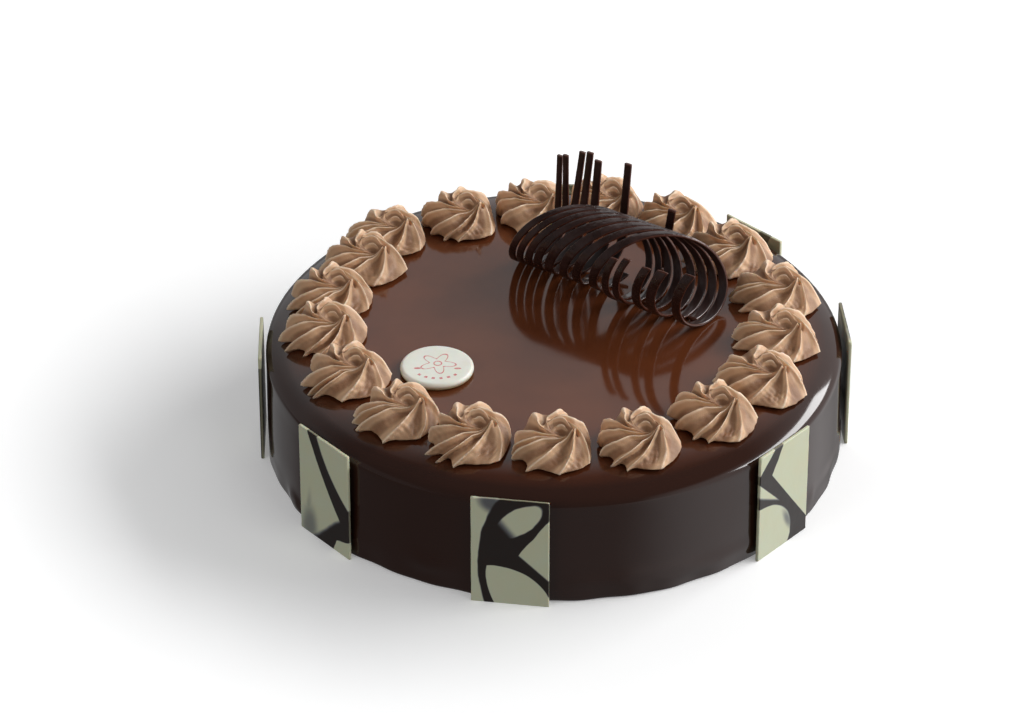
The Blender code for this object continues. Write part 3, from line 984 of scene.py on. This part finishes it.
class Marbling:
    """Ovals and cuts on a plaque's face, in mm from the middle of its lower edge."""

    def __init__(self, paint, place):
        self.paint = paint
        x, _, z = paint.split(place)
        sway = paint.noise(place, 11.0, 2.0) - 0.5
        self.x = x * 1000 + sway * 1.6
        self.z = z * 1000 - sway * 1.6

    def oval(self, centre, radii, tilt=0.0, soft=0.5):
        """1 inside an oval and 0 outside."""
        cosine, sine = math.cos(math.radians(tilt)), math.sin(math.radians(tilt))
        right, rise = self.x - centre[0], self.z - centre[1]
        along = (right * cosine + rise * sine) / radii[0]
        across = (rise * cosine - right * sine) / radii[1]
        away = ((along * along + across * across) ** 0.5 - 1) * min(radii)
        return self.paint.rise(away, soft / 2, -soft / 2)

    def cut(self, point, facing, soft=0.5):
        """1 on the side of a straight line that it faces, given in degrees up from the right."""
        turn = math.radians(facing)
        away = (self.x - point[0]) * math.cos(turn) + (self.z - point[1]) * math.sin(turn)
        return self.paint.rise(away, -soft / 2, soft / 2)


print("plaque", round(PLAQUE_WIDTH / MM, 1), "by", round(PLAQUE_HEIGHT / MM, 1), "mm")

# %% Pale windows of each pattern
def left_windows(m):
    """A long pale field, darker in two soft ovals low on the left, a dark arc that sweeps down to the
    right, and a pale corner.
    """
    upper = m.oval((54.1, 74.5), (62.2, 62.2), soft=1.6)
    field = (1 - m.oval((163, 130.5), (190.2, 190.2), soft=0.6)) * m.cut((2.0, 8.9), 134, soft=3.4)
    corner = m.cut((6.4, 2.0), -23, soft=0.6) * m.cut((11.0, 6.9), -72, soft=0.6)
    # The field grows darker in two soft ovals low on the left
    low_left_darkening = m.oval((-10.5, 4.0), (5.5, 11.0), tilt=-8, soft=8.0)
    low_left_darkening = low_left_darkening.larger(m.oval((-10.5, 14.0), (2.0, 9.0), tilt=-6, soft=4.0) * 0.7)
    return upper.larger(field * (1 - low_left_darkening * 0.45)).larger(corner)


def front_windows(m):
    """A pale strip on the left, an oval, a wedge on the right and a broad pale foot."""
    strip = (1 - m.oval((3.0, 20.0), (16.6, 36.0), soft=1.0)) * m.cut((-1.0, 0.0), 180)
    strip = strip * (1 - m.oval((-8.0, 50.5), (4.5, 6.0), tilt=50, soft=6.0) * 0.6)
    leaf = m.oval((3.4, 41.8), (12.6, 5.7), tilt=41, soft=1.0)
    leaf = leaf * m.cut((-2.5, 39.5), 38, soft=7.5)
    wedge = m.cut((3.6, 25.2), -35, soft=0.6) * m.cut((3.6, 25.2), 47, soft=1.4)
    foot = m.oval((-6.0, -6.0), (25.0, 25.0), soft=0.6) * m.oval((20.0, 14.0), (30.0, 30.0), soft=0.6)
    return strip.larger(leaf).larger(wedge).larger(foot)


def right_windows(m):
    """A large pale field cut by two dark bands, with a half oval at the lower left."""
    field = m.cut((-8.6, 40.4), -31, soft=0.6) * m.cut((-8.6, 40.4), 36.5, soft=0.6)
    corner = m.cut((-6.6, 52.5), 134, soft=0.8)
    slip = m.cut((-14.9, 37.3), -136, soft=0.8) * m.cut((-14.9, 31.5), 61.5, soft=2.2)
    half = m.oval((-18.0, 8.0), (23.5, 18.5), soft=0.9)
    half = half * (1 - m.oval((3.2, 12.0), (2.0, 7.0), tilt=28, soft=3.5) * 0.5)
    return field.larger(corner).larger(slip).larger(half)


def side_windows(m):
    """Mostly dark, with two pale ovals and a pale upper edge."""
    spots = m.oval((-4.0, 31.0), (10.0, 4.5), tilt=15, soft=2.0)
    spots = spots.larger(m.oval((2.0, 12.0), (14.0, 5.0), tilt=-12, soft=1.2))
    return spots.larger(m.cut((0.0, 49.0), 82, soft=1.0))


PATTERNS = {
    "left": ("marbled_sweep", left_windows),
    "front": ("marbled_leaf", front_windows),
    "right": ("marbled_cross", right_windows),
    "side": ("marbled_spots", side_windows),
}
print("patterns", list(PATTERNS))

# %% Plaque finishes
def plaque_finish(name, windows):
    """White chocolate under brushed dark bands, with a yellower cut edge."""
    material, shader, paint = new_finish(name, 0.32, 1.45)
    place = paint.node("ShaderNodeTexCoord", None, None, output=3)
    pale = paint.blend(PALE, PALE_WARM, paint.noise(place, 14.0, 2.0))
    smoky = windows(Marbling(paint, place))
    smoky = smoky * (0.97 + paint.noise(place, 3.0, 3.0) * 0.06)
    to_smoke = paint.blend(BAND_DARK, SMOKE, paint.rise(smoky, 0.08, 0.55))
    face = paint.blend(to_smoke, pale, paint.rise(smoky, 0.40, 0.94))
    depth = paint.split(place)[1] * 1000
    cut_edge = paint.rise(depth, 0.1, 0.7)
    edge = paint.blend(face, PALE_WARM, cut_edge * 0.4)
    paint.feed(shader.inputs["Base Color"], edge)
    paint.feed(shader.inputs["Roughness"], paint.noise(place, 5.0, 3.0) * 0.2 + 0.25)
    shader.inputs["Subsurface Weight"].default_value = 0.1
    shader.inputs["Subsurface Scale"].default_value = 0.002
    bump(paint, shader, paint.noise(place, 6.0, 2.0) + smoky * 0.2, 0.1)
    return material


finishes = {pattern: plaque_finish(*maker) for pattern, maker in PATTERNS.items()}
print("plaque finishes", [finish.name for finish in finishes.values()])

# %% Shape of a plaque
# Both in mm
ROUND_OFF = 0.35
FACE_INSET = 0.6


def plaque_mesh_points(seed):
    """A thin slab as rings round its edge, with rounded arrises and slightly wavy cut sides."""
    half, high, deep = PLAQUE_WIDTH / 2, PLAQUE_HEIGHT, PLAQUE_THICKNESS
    outline = []
    for count, start, end in ((24, (-half, 0), (half, 0)), (38, (half, 0), (half, high)),
                              (24, (half, high), (-half, high)), (38, (-half, high), (-half, 0))):
        for k in range(count):
            share = k / count
            outline.append((start[0] + (end[0] - start[0]) * share,
                            start[1] + (end[1] - start[1]) * share))
    outline = np.array(outline)
    wavy = ripple(seed, (0.023, 0.009, 0.004))(outline[:, 0], outline[:, 1]) * 0.13 * MM
    rings = []
    back = deep / MM
    # Each ring's inset from the outline and its depth, in mm, from the outer face to the back
    for inset, depth in ((FACE_INSET, 0.0), (ROUND_OFF, 0.0), (0.12, 0.1), (0.0, ROUND_OFF),
                         (0.0, back - ROUND_OFF), (0.12, back - 0.1), (ROUND_OFF, back),
                         (FACE_INSET, back)):
        inward = inset * MM + np.abs(wavy)
        x = np.clip(outline[:, 0], -half + inward, half - inward)
        z = np.clip(outline[:, 1], inward * (outline[:, 1] > 0.01 * MM) + inset * MM, high - inward)
        rings.append(np.stack([x, depth * MM + 0 * x, z], axis=-1))
    return np.array(rings)


print("rings of a plaque", plaque_mesh_points(61).shape)

# %% Set the plaques round the side
# Degrees round from the front towards the right, how far each leans off the side in mm, pattern
PLAQUES = [
    (-49.3, 0, "left"), (-8.0, 0, "front"), (49.7, 0, "right"), (95.0, 0.4, "front"),
    (135.0, 0, "left"), (178.0, 0, "right"), (-88.5, 0.2, "side"),
]
GAP_TO_SIDE = 0.3 * MM

for number, (degrees, off_side, pattern) in enumerate(PLAQUES, 1):
    rings = plaque_mesh_points(60 + number)
    faces = sleeve_faces(len(rings), rings.shape[1], None, None)
    node = f"plaque_{number}"
    angle = math.radians(degrees)
    distance = FOOT_RADIUS + GAP_TO_SIDE + off_side * MM + PLAQUE_THICKNESS
    place = (distance * math.sin(angle), -distance * math.cos(angle), 0)
    piece = add_piece(node + "_marbled", rings.reshape(-1, 3), faces, finishes[pattern],
                      [node], place=place, turned=angle)
    # The two faces stay flat, and the narrow sides and rounded edges are smooth
    for polygon in piece.data.polygons:
        polygon.use_smooth = len(polygon.vertices) == 4 and abs(polygon.normal.y) < 0.99
print("plaques", len(PLAQUES))

# %% Update the view layer
bpy.context.view_layer.update()
